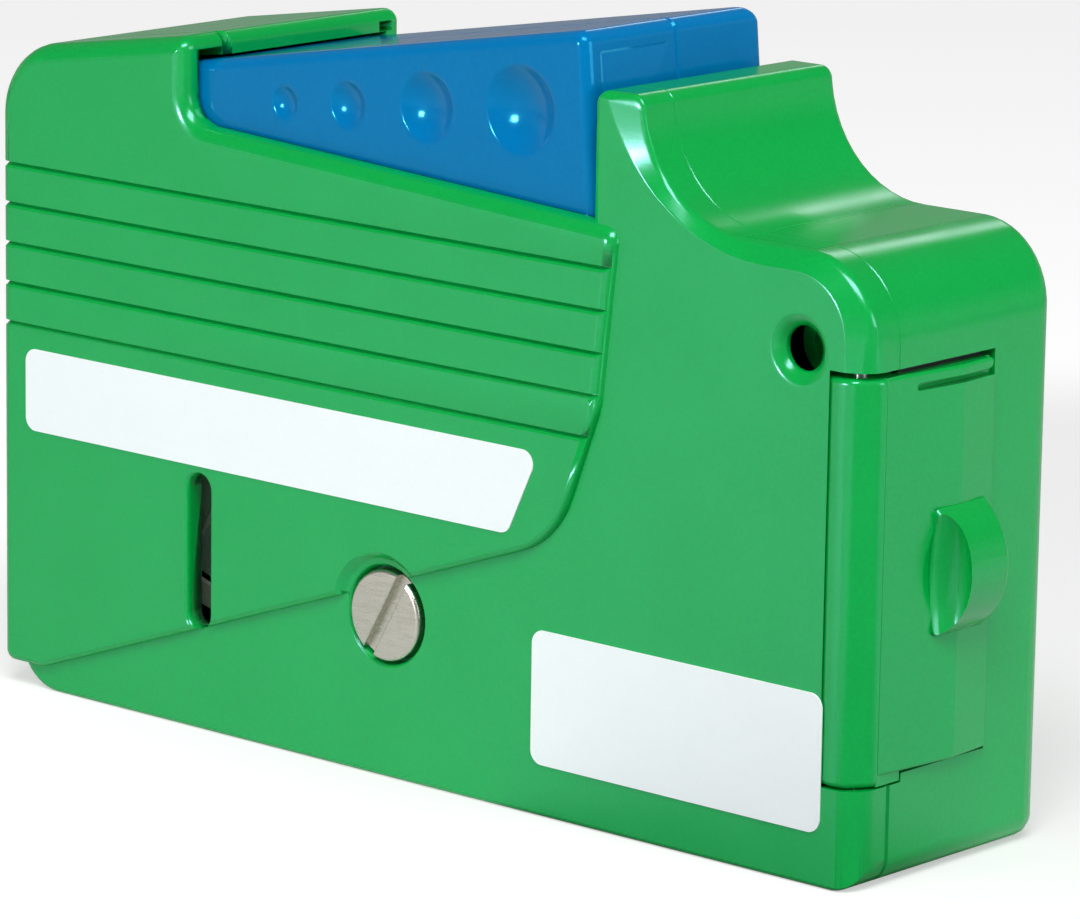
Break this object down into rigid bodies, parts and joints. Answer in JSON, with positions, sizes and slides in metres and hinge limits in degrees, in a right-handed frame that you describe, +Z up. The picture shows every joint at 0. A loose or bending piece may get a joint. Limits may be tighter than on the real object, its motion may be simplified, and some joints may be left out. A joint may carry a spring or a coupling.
{
  "type": "fibre optic connector cleaning cassette",
  "caption": "Hand-held cassette that cleans fibre optic connectors on an advancing tape, with a thumb lever, a hinged shutter over the slots and a coin screw.",
  "frame": {"origin": "middle of the flat base face, in the middle plane between the two broad faces", "axes": "+X towards the cleaning end with the shutter, -Y towards the near face with the coin screw and labels, +Z up towards the lever"},
  "size_m": [0.1325, 0.0352, 0.0866],
  "materials": {
    "case_green": "moulded, satin flats and glossy edges",
    "lever_blue": "moulded, satin flats and glossy dimples",
    "acetal_white": "smooth natural acetal",
    "dark_grey": "moulded, lightly grained",
    "steel": "bright turned and stamped",
    "nickel": "satin nickel plate",
    "brass": "turned",
    "rubber_black": "soft pad",
    "felt_grey": "pressed felt",
    "tape_white": "fine woven microfibre",
    "label_white": "bare sticker"
  },
  "bodies": {
    "case": {"rear_case": "case_green", "window_frame": "dark_grey", "threaded_insert": "brass", "mechanism_plate": "dark_grey", "plate_screws": "steel", "lever_pivot_pin": "steel", "lever_spring": "steel", "back_stop_pawl": "acetal_white", "supply_spindle": "steel", "supply_brake": "felt_grey", "supply_clip": "steel", "roller_pins": "steel", "cleaning_tape": "tape_white", "platen_carrier": "dark_grey", "platen_pad": "rubber_black"},
    "cover": {"front_cover": "case_green", "front_label": "label_white", "lower_label": "label_white", "screw_retainer": "dark_grey", "door_hinge_pin": "steel"},
    "door": {"shutter_door": "case_green"},
    "coin": {"coin_screw": "nickel"},
    "lever": {"lever_near_half": "lever_blue", "lever_far_half": "lever_blue", "lever_screws": "steel", "lever_sector": "acetal_white"},
    "pinion": {"drive_pinion": "acetal_white", "drive_pawl": "acetal_white"},
    "takeup": {"takeup_shaft": "steel", "takeup_reel": "acetal_white", "takeup_tape": "tape_white", "ratchet_wheel": "acetal_white", "takeup_clip": "steel"},
    "supply": {"supply_reel": "acetal_white", "supply_tape": "tape_white"},
    "upper_roller": {"upper_guide_roller": "acetal_white"},
    "lower_roller": {"lower_guide_roller": "acetal_white"}
  },
  "joints": [
    {"name": "cover_lift", "type": "slide", "parent": "case", "child": "cover", "axis": [0, -1, 0], "range_m": [0, 0.035]},
    {"name": "door_swing", "type": "hinge", "parent": "cover", "child": "door", "pos_m": [0.0604, -0.0129, 0.0333], "axis": [0, 0, -1], "range_deg": [0, 90]},
    {"name": "coin_screw_turn", "type": "hinge", "parent": "cover", "child": "coin", "pos_m": [-0.003, -0.0155, 0.0186], "axis": [0, -1, 0], "range_deg": [0, 1080]},
    {"name": "lever_press", "type": "hinge", "parent": "case", "child": "lever", "pos_m": [-0.046, 0, 0.07], "axis": [0, 1, 0], "range_deg": [0, 9], "stiffness_Nm_per_rad": 0.6, "springref_deg": -17.19, "deforming": ["lever_spring"]},
    {"name": "pinion_turn", "type": "hinge", "parent": "case", "child": "pinion", "pos_m": [0.0198, 0.0095, 0.03], "axis": [0, 1, 0], "range_deg": [-66, 1], "deforming": ["drive_pawl"]},
    {"name": "takeup_advance", "type": "hinge", "parent": "case", "child": "takeup", "pos_m": [0.0198, 0, 0.03], "axis": [0, -1, 0], "continuous": true, "deforming": ["back_stop_pawl"]},
    {"name": "supply_unwind", "type": "hinge", "parent": "case", "child": "supply", "pos_m": [-0.032, 0, 0.036], "axis": [0, -1, 0], "continuous": true},
    {"name": "upper_roller_turn", "type": "hinge", "parent": "case", "child": "upper_roller", "pos_m": [0.0535, 0, 0.0485], "axis": [0, -1, 0], "continuous": true},
    {"name": "lower_roller_turn", "type": "hinge", "parent": "case", "child": "lower_roller", "pos_m": [0.0535, 0, 0.0105], "axis": [0, -1, 0], "continuous": true}
  ],
  "couplings": [
    {"joint": "pinion_turn", "follows": "lever_press", "ratio": -6.7},
    {"joint": "takeup_advance", "follows": "supply_unwind", "ratio": 1.9545},
    {"joint": "upper_roller_turn", "follows": "supply_unwind", "ratio": 7.1667},
    {"joint": "lower_roller_turn", "follows": "supply_unwind", "ratio": 7.1667}
  ]
}
